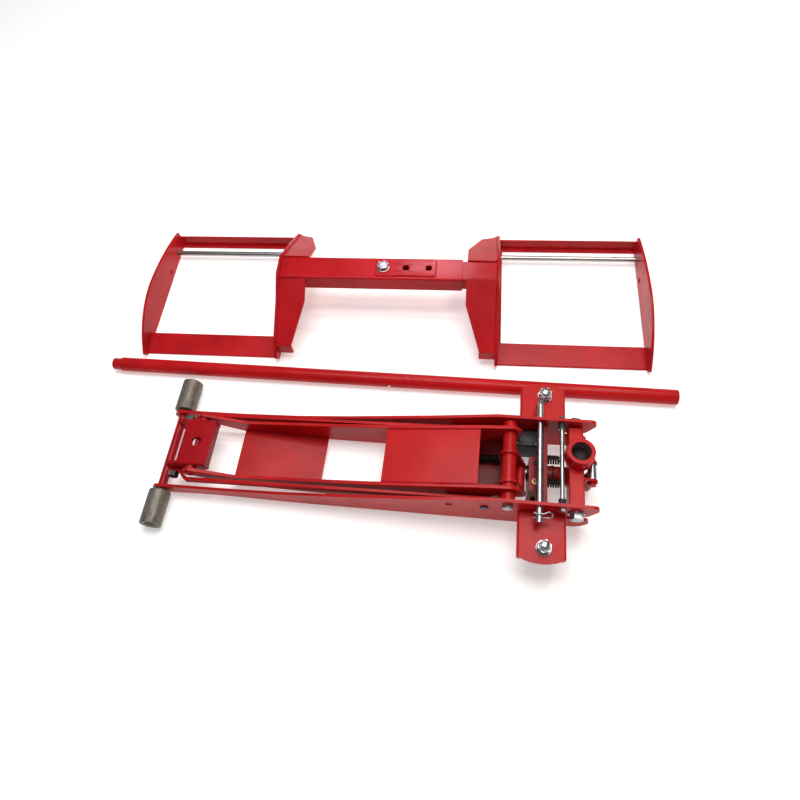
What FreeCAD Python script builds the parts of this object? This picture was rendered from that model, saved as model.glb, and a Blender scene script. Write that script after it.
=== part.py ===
import FreeCAD, Part
import math
import os
import re
import Sketcher

V = FreeCAD.Vector

doc = FreeCAD.newDocument("wheel_lift_jack")

# ---------------------------------------------------------------- dimensions
# All lengths in millimetres.  The jack is laid out about its arm pivot (x = 0,
# y = 0 in the jack's own middle plane); the wheel cradle and the handle lie on
# the floor beside it.  origin_x / origin_y move the whole set so that the
# origin is the centre of the footprint, on the floor.
CELLS = [
    ("origin_x", 284.0), ("origin_y", -219.8),
    ("chassis_half", 88.0), ("plate_thk", 6.0),
    ("axle_x", -706.0), ("roller_rad", 22.0), ("roller_len", 72.0), ("axle_rad", 7.0),
    ("roller_bore_rad", 7.05), ("axle_tube_rad", 9.0), ("nose_rad", 17.0),
    ("pivot_z", 98.0), ("pivot_rad", 8.0), ("pivot_bore_rad", 8.05), ("pivot_tube_rad", 13.0),
    ("arm_half", 64.0), ("arm_thk", 7.0), ("arm_eye_rad", 23.5),
    ("saddle_pin_x", -634.0), ("saddle_pin_z", 66.0), ("link_rad", 6.0), ("link_bore_rad", 6.05),
    ("link_open_rad", 6.4), ("link_dx", -42.0), ("link_dz", -19.0),
    ("rod_thk", 6.0), ("rod_hgt", 16.0),
    ("saddle_half", 50.0), ("saddle_len", 62.0), ("saddle_top", 80.0), ("saddle_thk", 6.0),
    ("saddle_hole_rad", 10.0),
    ("bracket_wid", 88.0), ("bracket_top", 80.0), ("bracket_thk", 6.0), ("bracket_reach", 183.0),
    ("bracket_lip", 16.0), ("bracket_x", 63.5), ("king_x", 67.0), ("king_y", 155.0), ("king_rad", 8.0),
    ("king_bore_rad", 8.05), ("nut_big_rad", 12.7), ("trail", 13.0), ("wheel_rad", 21.0),
    ("wheel_wid", 20.0), ("wheel_axle_rad", 3.0), ("wheel_bore_rad", 3.05),
    ("lock_x", 56.0), ("lock_z", 105.0), ("lock_rad", 6.0), ("lock_bore_rad", 6.05),
    ("tie_x", 96.5), ("tie_z", 106.0), ("tie_rad", 4.0), ("cap_rad", 6.5), ("cap_len", 12.0),
    ("yoke_x", 124.0), ("yoke_z", 88.0), ("yoke_wid", 28.0), ("yoke_hgt", 36.0), ("yoke_half", 79.0),
    ("yoke_bore_rad", 8.06), ("socket_x", 128.5), ("socket_y", 18.0), ("socket_rad", 26.0),
    ("socket_bore_rad", 18.0), ("socket_len", 29.0),
    ("cam_x", 154.5), ("cam_z", 85.0), ("cam_rad", 8.5), ("cam_len", 30.5), ("cam_bolt_rad", 4.0),
    ("cam_bore_rad", 4.05), ("cam_y", -5.25),
    ("ram_z", 44.0), ("ram_rad", 11.0), ("ram_bore_rad", 11.05), ("barrel_rad", 18.0),
    ("plunger_rad", 7.0), ("plunger_bore_rad", 7.05), ("spring_rad", 7.2), ("spring_wire", 1.9),
    ("spring_y", 24.0), ("spring_z", 64.5),
    ("handle_y", 207.5), ("handle_rad", 16.0), ("handle_wall", 3.0), ("handle_left", -915.0),
    ("handle_joint", -229.0), ("handle_right", 347.0), ("button_rad", 4.0),
    ("cradle_x", -278.7), ("cradle_y", 263.9), ("cradle_turn", 1.467),
    ("frame_outer", 579.0), ("frame_inner", 250.0), ("frame_inner_right", 243.0), ("frame_thk", 6.0), ("frame_ledge", 8.0),
    ("tube_near", 141.0), ("tube_wid", 60.0), ("tube_hgt", 40.0), ("tube_wall", 3.0), ("tube_low", 82.0),
    ("tube_end", 165.5), ("slide_wid", 53.4), ("slide_hgt", 33.4), ("slide_wall", 3.0),
    ("chock_y", 296.5), ("chock_z", 18.0), ("chock_rad", 6.0), ("chock_bore_rad", 6.05),
    ("width_x", -12.0), ("width_pitch", 51.0), ("width_rad", 7.0), ("width_hole_rad", 7.5),
    ("doubler_thk", 3.0),
]
sheet = doc.addObject("Spreadsheet::Sheet", "sheet")
D = {}
for row, (name, value) in enumerate(CELLS, start=1):
    sheet.set("A%d" % row, name.replace("_", " "))
    sheet.set("B%d" % row, repr(value))
    sheet.setAlias("B%d" % row, name)
    D[name] = value
doc.recompute()

JACK = FreeCAD.Placement(V(D["origin_x"], D["origin_y"], 0), FreeCAD.Rotation())
CRADLE = FreeCAD.Placement(
    V(D["origin_x"] + D["cradle_x"], D["origin_y"] + D["cradle_y"], 0),
    FreeCAD.Rotation(V(0, 0, 1), D["cradle_turn"]))

NODES = []
_count = [0]


def tag(word):
    _count[0] += 1
    return "%s_%03d" % (word, _count[0])


def bind(obj, prop, size):
    """Set a size: a number, or an expression in the sheet's aliases."""
    if isinstance(size, str):
        obj.setExpression(prop, re.sub(r"[a-z][a-z_]*", lambda m: "sheet." + m.group(0), size))
    else:
        setattr(obj, prop, size)


def num(size):
    """The value of a number or of a simple sum of aliases."""
    if not isinstance(size, str):
        return float(size)
    total, sign = 0.0, 1.0
    for word in size.replace("-", " - ").replace("+", " + ").replace("*", " * ").split():
        if word == "+":
            sign = 1.0
        elif word == "-":
            sign = -1.0
        elif word in D:
            total += sign * D[word]
        elif word == "*":
            raise ValueError("products are not read here")
        else:
            total += sign * float(word)
    return total


def box(x, y, z, dx, dy, dz):
    o = doc.addObject("Part::Box", tag("block"))
    o.Placement = FreeCAD.Placement(V(num(x), num(y), num(z)), FreeCAD.Rotation())
    bind(o, "Length", dx)
    bind(o, "Width", dy)
    bind(o, "Height", dz)
    return o


AXES = {"X": V(1, 0, 0), "Y": V(0, 1, 0), "Z": V(0, 0, 1)}


def cyl(at, axis, rad, length):
    o = doc.addObject("Part::Cylinder", tag("round"))
    o.Placement = FreeCAD.Placement(V(*at), FreeCAD.Rotation(V(0, 0, 1), AXES[axis]))
    bind(o, "Radius", rad)
    bind(o, "Height", length)
    return o


def cone(at, axis, r1, r2, length):
    o = doc.addObject("Part::Cone", tag("taper"))
    o.Placement = FreeCAD.Placement(V(*at), FreeCAD.Rotation(V(0, 0, 1), AXES[axis]))
    bind(o, "Radius1", r1)
    bind(o, "Radius2", r2)
    bind(o, "Height", length)
    return o


def hexa(at, axis, circum, length, turn=0.0):
    o = doc.addObject("Part::Prism", tag("hex"))
    o.Polygon = 6
    rot = FreeCAD.Rotation(V(0, 0, 1), AXES[axis]).multiply(FreeCAD.Rotation(V(0, 0, 1), turn))
    o.Placement = FreeCAD.Placement(V(*at), rot)
    bind(o, "Circumradius", circum)
    bind(o, "Height", length)
    return o


def cut(base, *tools):
    for t in tools:
        c = doc.addObject("Part::Cut", tag("cut"))
        c.Base = base
        c.Tool = t
        base = c
    return base


def fuse(*parts):
    o = doc.addObject("Part::MultiFuse", tag("join"))
    o.Shapes = list(parts)
    o.Refine = True
    return o


def common(a, b):
    o = doc.addObject("Part::Common", tag("both"))
    o.Base = a
    o.Tool = b
    return o


def fillet(base, rad, wanted):
    """Round the edges of base whose middle satisfies wanted(x, y, z, direction)."""
    doc.recompute()
    edges = []
    for i, e in enumerate(base.Shape.Edges, start=1):
        m = e.valueAt((e.FirstParameter + e.LastParameter) / 2.0)
        a = e.Vertexes[0].Point
        b = e.Vertexes[-1].Point
        d = b.sub(a)
        if d.Length > 1e-6:
            d.normalize()
        if wanted(m.x, m.y, m.z, d):
            edges.append((i, rad, rad))
    o = doc.addObject("Part::Fillet", tag("soft"))
    o.Base = base
    o.Edges = edges
    return o


def several(*parts):
    """Separate solids kept side by side under one name."""
    o = doc.addObject("Part::Compound", tag("set"))
    o.Links = list(parts)
    return o


def node(label, obj, place=JACK, offset=None):
    base = FreeCAD.Placement(place)
    if offset is not None:
        base = base.multiply(FreeCAD.Placement(V(*offset), FreeCAD.Rotation()))
    obj.Placement = base
    obj.Label = label
    NODES.append(obj)
    return obj


def plane_of(body, role):
    for f in body.Origin.OriginFeatures:
        if f.Role == role:
            return f


def outline(sketch, path):
    """path: start point, then ("L", end) and ("A", middle, end) pieces, closed."""
    here = path[0]
    pieces = list(path[1:])
    for piece in pieces:
        if piece[0] == "L":
            end = piece[1]
            if (V(end[0], end[1], 0) - V(here[0], here[1], 0)).Length > 1e-6:
                sketch.addGeometry(Part.LineSegment(V(here[0], here[1], 0), V(end[0], end[1], 0)), False)
        else:
            mid, end = piece[1], piece[2]
            sketch.addGeometry(Part.Arc(V(here[0], here[1], 0), V(mid[0], mid[1], 0), V(end[0], end[1], 0)), False)
        here = end
    if (V(here[0], here[1], 0) - V(path[0][0], path[0][1], 0)).Length > 1e-6:
        sketch.addGeometry(Part.LineSegment(V(here[0], here[1], 0), V(path[0][0], path[0][1], 0)), False)


ROLE = {"XY": "XY_Plane", "XZ": "XZ_Plane", "YZ": "YZ_Plane"}


def plate(name, plane, path, thick, holes=()):
    """A padded profile.  XZ profiles grow towards -Y, YZ towards +X, XY towards +Z."""
    body = doc.addObject("PartDesign::Body", tag("body_" + name))
    sk = body.newObject("Sketcher::SketchObject", tag("profile_" + name))
    sk.AttachmentSupport = [(plane_of(body, ROLE[plane]), "")]
    sk.MapMode = "FlatFace"
    outline(sk, path)
    for i, (cx, cy, rad) in enumerate(holes):
        g = sk.addGeometry(Part.Circle(V(cx, cy, 0), V(0, 0, 1), num(rad)), False)
        c = sk.addConstraint(Sketcher.Constraint("Radius", g, num(rad)))
        sk.renameConstraint(c, "hole_%d" % i)
        if isinstance(rad, str):
            sk.setExpression("Constraints.hole_%d" % i, "sheet." + rad)
    pad = body.newObject("PartDesign::Pad", tag("pad_" + name))
    pad.Profile = sk
    bind(pad, "Length", thick)
    body.Tip = pad
    return body


def rod_along(points, rad):
    """Round wire through the points, with a ball at every turn."""
    shape = None
    for i in range(len(points) - 1):
        a, b = V(*points[i]), V(*points[i + 1])
        s = Part.makeCylinder(rad, (b - a).Length, a, b - a)
        shape = s if shape is None else shape.fuse(s)
        if i:
            shape = shape.fuse(Part.makeSphere(rad, a))
    o = doc.addObject("Part::Feature", tag("wire"))
    o.Shape = shape.removeSplitter()
    return o


# ---------------------------------------------------------------- chassis side plates
ax, az = D["axle_x"], D["roller_rad"]
nr = D["nose_rad"]
side_path = [
    (ax, az + nr), ("L", (-560.0, 42.5)), ("L", (-440.0, 50.5)), ("L", (-326.0, 65.5)),
    ("L", (-150.0, 95.0)), ("L", (-25.0, 119.0)), ("L", (150.0, 119.0)),
    ("A", (157.8, 115.8), (161.0, 108.0)), ("L", (161.0, 101.0)), ("L", (148.0, 76.0)),
    ("A", (143.0, 71.5), (136.0, 70.0)), ("L", (114.0, 70.0)),
    ("A", (105.0, 61.0), (114.0, 52.0)), ("L", (146.0, 50.0)),
    ("A", (154.0, 38.0), (149.0, 24.0)), ("A", (138.0, 12.0), (120.0, 8.0)),
    ("L", (-430.0, 8.0)), ("L", (-560.0, 14.0)), ("L", (-640.0, 12.0)), ("L", (ax, az - nr)),
    ("A", (ax - nr, az), (ax, az + nr)),
]
side_holes = [
    (ax, az, "axle_rad"), (0.0, D["pivot_z"], "pivot_rad"),
    (D["lock_x"], D["lock_z"], "lock_bore_rad"), (D["tie_x"], D["tie_z"], "tie_rad"),
    (D["yoke_x"], D["yoke_z"], "pivot_rad"), (D["link_dx"], D["pivot_z"] + D["link_dz"], "link_rad"),
]
near_holes = side_holes + [(-108.0, 80.0, "axle_rad")]
h = D["chassis_half"]
t = D["plate_thk"]
node("side_plate_near", plate("side_near", "XZ", side_path, "plate_thk", near_holes), JACK, (0, -h + t, 0))
node("side_plate_far", plate("side_far", "XZ", side_path, "plate_thk", side_holes), JACK, (0, h, 0))

# ---------------------------------------------------------------- front axle and rollers
inner = h - t
node("axle_tube", cut(cyl((ax, -inner, az), "Y", "axle_tube_rad", "chassis_half*2 - plate_thk*2"),
                      cyl((ax, -inner - 5, az), "Y", "axle_rad", 2 * inner + 10)))
parts = [cyl((ax, -168.0, az), "Y", "axle_rad", 336.0)]
for s in (-1, 1):
    for (a, b) in ((88.0, 92.7), (165.4, 167.4)):
        y0 = s * a if s > 0 else -b
        parts.append(cut(cyl((ax, y0, az), "Y", 11.0, b - a), cyl((ax, y0 - 1, az), "Y", "axle_rad", b - a + 2)))
node("axle_shaft", several(*parts))
for side, y0 in (("near", -165.0), ("far", 93.0)):
    r = D["roller_rad"]
    body = doc.addObject("PartDesign::Body", tag("body_roller"))
    sk = body.newObject("Sketcher::SketchObject", tag("profile_roller"))
    sk.AttachmentSupport = [(plane_of(body, "YZ_Plane"), "")]
    sk.MapMode = "FlatFace"
    b0, c0, ln = D["roller_bore_rad"], 1.2, D["roller_len"]
    outline(sk, [(0, b0), ("L", (ln, b0)), ("L", (ln, r - c0)), ("L", (ln - c0, r)), ("L", (c0, r)), ("L", (0, r - c0))])
    rev = body.newObject("PartDesign::Revolution", tag("turn_roller"))
    rev.Profile = sk
    rev.ReferenceAxis = (sk, ["H_Axis"])
    rev.Angle = 360.0
    body.Tip = rev
    node("front_roller_" + side, body, JACK, (ax, y0, az))

# ---------------------------------------------------------------- rear caster brackets
bx, bw, bt, br = D["bracket_x"], D["bracket_wid"], D["bracket_top"], D["bracket_reach"]
kx, ky = D["king_x"], D["king_y"]
for side, s in (("near", -1), ("far", 1)):
    y0 = -br if s < 0 else h
    block = box(bx - bw / 2, y0, bt - D["bracket_lip"], "bracket_wid", "bracket_reach - chassis_half", "bracket_lip")
    hollow = box(bx - bw / 2 + 6, y0 - 10, 40, "bracket_wid - bracket_thk*2", br - h + 20, bt - 6 - 40)
    shell = cut(block, hollow)
    shell = fillet(shell, 5.0, lambda x, y, z, d: abs(abs(d.y) - 1) < 1e-6 and abs(z - bt) < 1e-6)
    shell = common(shell, cyl((bx, s * (br - 93.5), 30), "Z", 93.5, 60))
    node("caster_bracket_" + side, cut(shell, cyl((kx, s * ky, 30), "Z", "king_rad", 60)))

bolts = []
for s in (-1, 1):
    y = s * ky
    bolts.append(fuse(cyl((kx, y, 56.5), "Z", "king_rad", 42.0), cyl((kx, y, 56.5), "Z", 12.0, 5.0)))
    ring = cut(cyl((kx, y, 66.5), "Z", 17.0, 7.5), cyl((kx, y, 60), "Z", "king_rad", 20))
    bolts.append(ring)
    bolts.append(cut(cyl((kx, y, 80.0), "Z", 14.0, 2.0), cyl((kx, y, 70), "Z", "king_rad", 20)))
    bolts.append(cut(hexa((kx, y, 82.0), "Z", "nut_big_rad", 13.0, 12.0), cyl((kx, y, 70), "Z", "king_rad", 40)))
node("caster_bolts", several(*bolts))

tr, wr = D["trail"], D["wheel_rad"]
for side, s in (("near", -1), ("far", 1)):
    # the wheel trails towards the chassis; a leg profile in the plane of travel
    y = s * ky
    top = cut(box(kx - 17, y - (tr + 13 if s > 0 else 15), 62.0, 34, tr + 28, 4.0),
              cyl((kx, y, 50), "Z", "king_bore_rad", 30))
    g = 1 if s < 0 else -1
    legs = []
    for x0 in (kx - 17, kx + 13):
        leg = plate("leg", "YZ", [(-g * 14, 62.2), ("L", (g * 25, 62.2)), ("L", (g * (tr + 9), wr)),
                                  ("A", (g * tr, wr - 9), (g * (tr - 9), wr))], 4.0,
                    [(g * tr, wr, "wheel_axle_rad")])
        leg.Placement = FreeCAD.Placement(V(x0, y, 0), FreeCAD.Rotation())
        legs.append(leg)
    fork = fuse(top, legs[0], legs[1])
    axle = fuse(cyl((kx - 20, y + g * tr, wr), "X", "wheel_axle_rad", 40.0),
                cyl((kx - 19.5, y + g * tr, wr), "X", 5.5, 2.5), cyl((kx + 17, y + g * tr, wr), "X", 5.5, 2.5))
    node("caster_fork_" + side, several(fork, axle))
    wheel = cut(cyl((kx - 10, y + g * tr, wr), "X", "wheel_rad", "wheel_wid"),
                cyl((kx - 20, y + g * tr, wr), "X", "wheel_bore_rad", 40))
    wheel = fillet(wheel, 2.0, lambda x, y_, z, d: d.Length < 1e-6 and abs(math.hypot(y_ - (y + g * tr), z - wr) - wr) < 1e-3)
    node("caster_wheel_" + side, wheel)

# ---------------------------------------------------------------- lift arm
pz, er = D["pivot_z"], D["arm_eye_rad"]
sx, sz = D["saddle_pin_x"], D["saddle_pin_z"]
arm_path = [
    (0.0, pz + er), ("L", (-57.0, 115.5)), ("L", (-152.0, 100.5)), ("L", (-250.0, 86.0)), ("L", (-355.0, 74.0)),
    ("L", (-440.0, 67.0)), ("L", (-545.0, 58.0)), ("L", (sx + 6.0, sz + 12.65)),
    ("A", (sx - 14.0, sz), (sx, sz - 14.0)), ("L", (-610.0, 44.0)), ("L", (-556.0, 20.0)), ("L", (-375.0, 9.0)),
    ("L", (-256.0, 8.5)), ("L", (-170.0, 15.0)), ("L", (-60.0, 52.0)),
    ("L", (er * math.cos(math.radians(220)), pz + er * math.sin(math.radians(220)))),
    ("A", (er, pz), (0.0, pz + er)),
]
arm_holes = [(0.0, pz, "pivot_tube_rad"), (sx, sz, "link_rad")]
ah, at = D["arm_half"], D["arm_thk"]
node("arm_plate_near", plate("arm_near", "XZ", arm_path, "arm_thk", arm_holes), JACK, (0, -ah + at, 0))
node("arm_plate_far", plate("arm_far", "XZ", arm_path, "arm_thk", arm_holes), JACK, (0, ah, 0))
ai = ah - at
node("arm_cross_rear", plate("cross_rear", "XZ", [(-241.0, 86.0), ("L", (-57.0, 114.5)), ("L", (-57.9, 108.6)), ("L", (-241.9, 80.1))],
                             "arm_half*2 - arm_thk*2"), JACK, (0, ai, 0))
node("arm_cross_front", plate("cross_front", "XZ", [(-555.0, 26.5), ("L", (-375.0, 15.5)), ("L", (-375.4, 9.5)), ("L", (-555.4, 20.5))],
                              "arm_half*2 - arm_thk*2"), JACK, (0, ai, 0))
node("arm_pivot_tube", cut(cyl((0, -81.0, pz), "Y", "pivot_tube_rad", 162.0), cyl((0, -90, pz), "Y", "pivot_bore_rad", 180)))

lx, lz = 24.0, D["ram_z"]
lever_path = [(-14.9, 89.8), ("A", (-6.9, 113.53), (16.07, 103.56)), ("L", (35.34, 47.93)),
              ("A", (28.87, 33.03), (13.48, 38.22))]
levers = []
for y0 in (-40.0, 18.0):
    p = plate("lever", "XZ", lever_path, 6.0, [(0.0, pz, "pivot_tube_rad"), (lx, lz, "link_rad")])
    p.Placement = FreeCAD.Placement(V(0, y0, 0), FreeCAD.Rotation())
    levers.append(p)
bush = cut(cyl((lx, -39.7, lz), "Y", 10.0, 51.4), cyl((lx, -50, lz), "Y", "link_rad", 80))
levers.append(bush)
levers.append(cyl((lx, -48.0, lz), "Y", "link_rad", 68.0))
node("arm_lever", several(*levers))

# pivot bolt through both side plates, with its nut
node("pivot_bolt", several(
    fuse(cyl((0, -90.0, pz), "Y", "pivot_rad", 182.6), hexa((0, -94.0, pz), "Y", 10.6, 6.0, 18.0)),
    cut(cyl((0, 88.0, pz), "Y", 10.5, 4.0), cyl((0, 80, pz), "Y", "pivot_rad", 30))))

# ---------------------------------------------------------------- saddle and parallel rods
fx, fz = sx + D["link_dx"], sz + D["link_dz"]
sh, st, stop = D["saddle_half"], D["saddle_thk"], D["saddle_top"]
cheek_path = [(-600.0, stop), ("L", (-600.0, 56.0)), ("L", (-648.0, 38.0)), ("L", (fx, fz - 14.0)),
              ("A", (fx - 14.0, fz), (fx - 13.0, fz + 5.2)), ("L", (fx - 11.5, 72.0)), ("L", (-662.0, stop))]
cheeks = []
for y0 in (-sh + st, sh):
    p = plate("cheek", "XZ", cheek_path, "saddle_thk", [(sx, sz, "link_bore_rad"), (fx, fz, "link_rad")])
    p.Placement = FreeCAD.Placement(V(0, y0, 0), FreeCAD.Rotation())
    cheeks.append(p)
top = cut(box(-662.0, -sh, stop - st, "saddle_len", "saddle_half*2", "saddle_thk"),
          cyl((-631.0, 0, 60), "Z", "saddle_hole_rad", 40))
apron = box(-606.0, -sh, 58.0, 6.0, "saddle_half*2", 22.0)
saddle = fuse(top, apron, cheeks[0], cheeks[1])
saddle = fillet(saddle, 4.0, lambda x, y, z, d: abs(abs(y) - sh) < 1e-6 and abs(z - stop) < 1e-6 and abs(abs(d.x) - 1) < 1e-6)
node("saddle", saddle)
node("saddle_front_pin", several(
    cyl((fx, -69.0, fz), "Y", "link_rad", 26.0), cyl((fx, 43.0, fz), "Y", "link_rad", 26.0),
    cut(hexa((fx, -68.0, fz), "Y", 11.0, 10.3, 10.0), cyl((fx, -80, fz), "Y", "link_rad", 30)),
    cut(hexa((fx, 57.7, fz), "Y", 11.0, 10.3, 25.0), cyl((fx, 50, fz), "Y", "link_rad", 30))))
node("saddle_pivot_pin", several(
    fuse(cyl((sx, -67.0, sz), "Y", "link_rad", 134.0), cyl((sx, -66.5, sz), "Y", 8.5, 2.5),
         cyl((sx, 64.0, sz), "Y", 8.5, 2.5)),
    cut(cyl((sx, -56.8, sz), "Y", 11.0, 6.5), cyl((sx, -60, sz), "Y", "link_rad", 20)),
    cut(cyl((sx, 50.3, sz), "Y", 11.0, 6.5), cyl((sx, 40, sz), "Y", "link_rad", 20))))

span = math.hypot(sx, pz - sz)
lean = math.degrees(math.atan2(pz - sz, -sx))
for side, s in (("near", -1), ("far", 1)):
    path = [(-11.0, s * 51.0), ("L", (14.0, s * 51.0)), ("L", (32.0, s * 69.0)), ("L", (span + 11.0, s * 69.0)),
            ("L", (span + 11.0, s * 75.0)), ("L", (29.5, s * 75.0)), ("L", (11.5, s * 57.0)), ("L", (-11.0, s * 57.0))]
    bar = plate("rod", "XY", path, "rod_hgt")
    bar.Placement = FreeCAD.Placement(V(0, 0, -D["rod_hgt"] / 2), FreeCAD.Rotation())
    bar = fillet(bar, 7.5, lambda x, y, z, d: abs(abs(d.y) - 1) < 1e-3 and (x < -10.9 or x > span + 10.9))
    bar = cut(bar, cyl((0, -90, 0), "Y", "link_open_rad", 180), cyl((span, -90, 0), "Y", "link_bore_rad", 180))
    bar.Label = "radius_rod_" + side
    bar.Placement = JACK.multiply(FreeCAD.Placement(V(fx, 0, fz), FreeCAD.Rotation(V(0, 1, 0), -lean)))
    NODES.append(bar)
rx, rz = D["link_dx"], pz + D["link_dz"]
node("rod_pins", several(
    fuse(cyl((rx, -90.0, rz), "Y", "link_rad", 22.2), cyl((rx, -90.5, rz), "Y", 8.0, 2.5)),
    fuse(cyl((rx, 67.8, rz), "Y", "link_rad", 22.2), cyl((rx, 88.0, rz), "Y", 8.0, 2.5))))

# ---------------------------------------------------------------- cross plates and hydraulic unit
bar_r = D["barrel_rad"]
node("chassis_cross_plates", several(
    box(-118.0, -inner, 8.0, 124.0, "chassis_half*2 - plate_thk*2", 6.0),
    cut(box(63.0, -inner, 14.0, 8.0, "chassis_half*2 - plate_thk*2", 84.0), cyl((50, 0, lz), "X", "barrel_rad", 40))))
block = fuse(box(38.5, -48.0, 16.0, 24.5, 68.0, 64.0), cyl((60.0, 0, lz), "X", "barrel_rad", 58.0),
             box(114.0, -17.0, 28.0, 26.0, 24.0, 22.0), cyl((D["cam_x"], D["cam_y"], 16.0), "Z", 11.5, 36.0))
block = cut(block, cyl((30.0, 0, lz), "X", "ram_bore_rad", 84.0), cyl((D["cam_x"], D["cam_y"], 26.0), "Z", "plunger_bore_rad", 40))
node("power_unit", block)
tank = box(8.0, 46.0, 16.0, 52.0, 36.0, 56.0)
node("reservoir", fillet(tank, 4.0, lambda x, y, z, d: abs(z - 72.0) < 1e-6))
node("ram", several(cyl((34.3, 0, lz), "X", "ram_rad", 76.0)))
node("pump_plunger", fuse(cyl((D["cam_x"], D["cam_y"], 50.0), "Z", "plunger_rad", 25.5),
                          cyl((D["cam_x"], D["cam_y"], 71.8), "Z", 9.5, 4.2)))


def coil(x0, x1, y, z, turns=5.0):
    pitch = (x1 - x0) / turns
    helix = Part.makeHelix(pitch, x1 - x0, D["spring_rad"])
    start = V(D["spring_rad"], 0, 0)
    ring = Part.Wire([Part.Circle(start, V(0, 1, 0), D["spring_wire"]).toShape()])
    pipe = Part.Wire(helix.Edges).makePipeShell([ring], True, True)
    o = doc.addObject("Part::Feature", tag("coil"))
    o.Shape = pipe
    o.Placement = FreeCAD.Placement(V(x0, y, z), FreeCAD.Rotation(V(0, 0, 1), V(1, 0, 0)))
    return o


node("return_springs", several(coil(73.0, 96.6, -D["spring_y"], D["spring_z"]), coil(73.0, 96.6, D["spring_y"], D["spring_z"])))

node("arm_return_springs", several(coil(-106.0, -16.0, -57.0, 24.0, 16.0), coil(-106.0, -16.0, 34.0, 24.0, 16.0)))

# ---------------------------------------------------------------- tie rod with rubber bumpers
tx, tz = D["tie_x"], D["tie_z"]
tie = [fuse(cyl((tx, -90.0, tz), "Y", "tie_rad", 186.0), hexa((tx, -94.0, tz), "Y", 7.5, 6.0, 8.0)),
       cut(hexa((tx, 88.0, tz), "Y", 7.5, 6.5, 20.0), cyl((tx, 80, tz), "Y", "tie_rad", 30))]
for s in (-1, 1):
    y0 = -inner if s < 0 else inner - D["cap_len"]
    tie.append(cut(cyl((tx, y0, tz), "Y", "cap_rad", "cap_len"), cyl((tx, y0 - 5, tz), "Y", "tie_rad", 30)))
node("tie_rod", several(*tie))

# ---------------------------------------------------------------- handle yoke
yx, yz = D["yoke_x"], D["yoke_z"]
yh = D["yoke_half"]
bar = box(yx - 14.0, -yh, 64.0, "yoke_wid", "yoke_half*2", "yoke_hgt")
bar = fillet(bar, 3.0, lambda x, y, z, d: abs(abs(d.y) - 1) < 1e-6)
node("yoke_bar", cut(bar, cyl((yx, -yh - 1, yz), "Y", "yoke_bore_rad", 26.0), cyl((yx, yh - 25, yz), "Y", "yoke_bore_rad", 26.0)))
yb = []
for s in (-1, 1):
    if s < 0:
        yb.append(fuse(cyl((yx, -92.0, yz), "Y", "pivot_rad", 36.0), hexa((yx, -101.0, yz), "Y", "nut_big_rad", 10.0, 4.0)))
        yb.append(cut(cyl((yx, -91.0, yz), "Y", 15.0, 3.0), cyl((yx, -95, yz), "Y", "pivot_rad", 10)))
    else:
        yb.append(fuse(cyl((yx, 56.0, yz), "Y", "pivot_rad", 36.0), hexa((yx, 91.0, yz), "Y", "nut_big_rad", 10.0, 14.0)))
        yb.append(cut(cyl((yx, 88.0, yz), "Y", 15.0, 3.0), cyl((yx, 85, yz), "Y", "pivot_rad", 10)))
node("yoke_bolts", several(*yb))
sox, soy = D["socket_x"], D["socket_y"]
ring = cut(cyl((sox, soy, 100.0), "Z", "socket_rad", "socket_len"), cyl((sox, soy, 104.0), "Z", "socket_bore_rad", 60.0))
node("socket_tube", fillet(ring, 1.5, lambda x, y, z, d: abs(z - 129.0) < 1e-6))
cx, cz, cy = D["cam_x"], D["cam_z"], D["cam_y"]
lug_path = [(138.0, 76.0), ("L", (cx, cz - 10.0)), ("A", (cx + 10.0, cz), (cx, cz + 10.0)), ("L", (138.0, 97.0))]
lugs = []
for y0 in (-21.0, 15.8):
    p = plate("lug", "XZ", lug_path, 5.0, [(cx, cz, "cam_bolt_rad")])
    p.Placement = FreeCAD.Placement(V(0, y0, 0), FreeCAD.Rotation())
    lugs.append(p)
lugs.append(fuse(cyl((cx, -28.0, cz), "Y", "cam_bolt_rad", 53.0), hexa((cx, -32.0, cz), "Y", 7.5, 6.0, 10.0)))
lugs.append(cut(hexa((cx, 15.8, cz), "Y", 7.5, 6.5, 0.0), cyl((cx, 10, cz), "Y", "cam_bolt_rad", 30)))
node("yoke_lugs", several(*lugs))
node("pump_roller", cut(cyl((cx, cy - 15.25, cz), "Y", "cam_rad", "cam_len"), cyl((cx, cy - 20, cz), "Y", "cam_bore_rad", 40)))

# ---------------------------------------------------------------- lock pin and its spring clip
px, pzz, pr = D["lock_x"], D["lock_z"], D["lock_rad"]
bend = doc.addObject("Part::Torus", tag("bend"))
bend.Radius1 = 12.0
bind(bend, "Radius2", "lock_rad")
bend.Angle3 = 90.0
bend.Placement = FreeCAD.Placement(V(px, 118.0, pzz - 12.0), FreeCAD.Rotation(V(0, 0, 1), V(0, 1, 0), V(-1, 0, 0), "XYZ"))
tip = cyl((px, 130.0, pzz - 21.0), "Z", "lock_rad", 9.0)
pin = fuse(cyl((px, -117.0, pzz), "Y", "lock_rad", 235.0), bend, tip)
pin = cut(pin, cyl((px - 10, -107.0, pzz), "X", 1.6, 20))
node("lock_pin", pin)
y0 = -107.0
clip = [(px - 12, y0, pzz), (px + 17, y0, pzz)]
for a in range(-70, 111, 30):
    clip.append((px + 17 + 5.6 * math.cos(math.radians(a)), y0 + 4.0 + 4.0 * math.sin(math.radians(a)),
                 pzz + 5.0 + 5.0 * math.sin(math.radians(a))))
clip += [(px + 8, y0 + 4.6, pzz + 8.6), (px - 4, y0 + 3.4, pzz + 8.2), (px - 11, y0 + 5.0, pzz + 11.0)]
node("r_clip", rod_along(clip, 1.3))

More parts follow.
